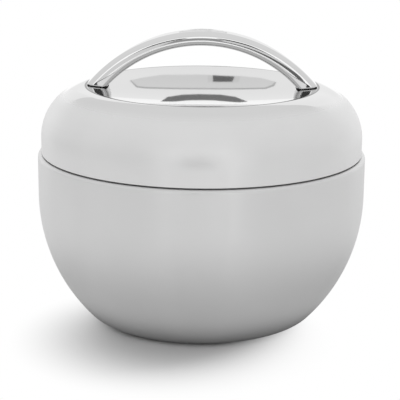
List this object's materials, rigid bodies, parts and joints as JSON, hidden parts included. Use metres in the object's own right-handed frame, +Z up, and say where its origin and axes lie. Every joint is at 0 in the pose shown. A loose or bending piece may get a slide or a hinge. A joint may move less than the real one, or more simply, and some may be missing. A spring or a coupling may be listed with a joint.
{
  "type": "insulated bowl",
  "caption": "Round double-walled steel food bowl with a domed twist-and-lift lid, a shallow dished top and a fixed arched handle across it.",
  "frame": {"origin": "centre of the standing ring, on the ground", "axes": "+Z up the bowl's axis, +X along the handle towards its right foot, -Y towards the viewer"},
  "size_m": [0.18, 0.18, 0.1587],
  "materials": {
    "brushed_steel": "fine satin, brushed round the axis",
    "lid_steel": "fine satin on the dome, mirror polish on the crest and in the dish",
    "liner_steel": "satin",
    "handle_steel": "mirror polish",
    "plain_steel": "mill finish",
    "screw_steel": "zinc plated",
    "foil": "bright copper foil",
    "getter_metal": "sintered",
    "glass_bead": "dark glass solder",
    "collar_plastic": "fine matt, moulded",
    "cover_plastic": "fine matt, moulded",
    "silicone": "soft translucent white silicone",
    "seal_rubber": "matt black",
    "foam": "rigid foam, closed cell"
  },
  "bodies": {
    "bowl": {"outer_shell": "brushed_steel", "inner_liner": "liner_steel", "radiation_foil": "foil", "base_plate": "plain_steel", "vacuum_seal": "glass_bead", "getter": "getter_metal", "getter_clip": "plain_steel", "base_cover": "plain_steel", "neck_ring": "collar_plastic"},
    "gasket": {"seal_ring": "silicone"},
    "lid": {"lid_shell": "lid_steel", "lid_inner_cover": "cover_plastic", "lid_insulation": "foam", "handle": "handle_steel", "foot_seal_left": "seal_rubber", "foot_seal_right": "seal_rubber", "handle_saddle_left": "plain_steel", "handle_saddle_right": "plain_steel", "handle_screw_left": "screw_steel", "handle_screw_right": "screw_steel"}
  },
  "joints": [
    {"name": "lid_lift", "type": "slide", "parent": "bowl", "child": "gasket", "axis": [0, 0, 1], "range_m": [0, 0.08]},
    {"name": "lid_turn", "type": "hinge", "parent": "gasket", "child": "lid", "pos_m": [0, 0, 0.104], "axis": [0, 0, -1], "range_deg": [0, 40]}
  ]
}
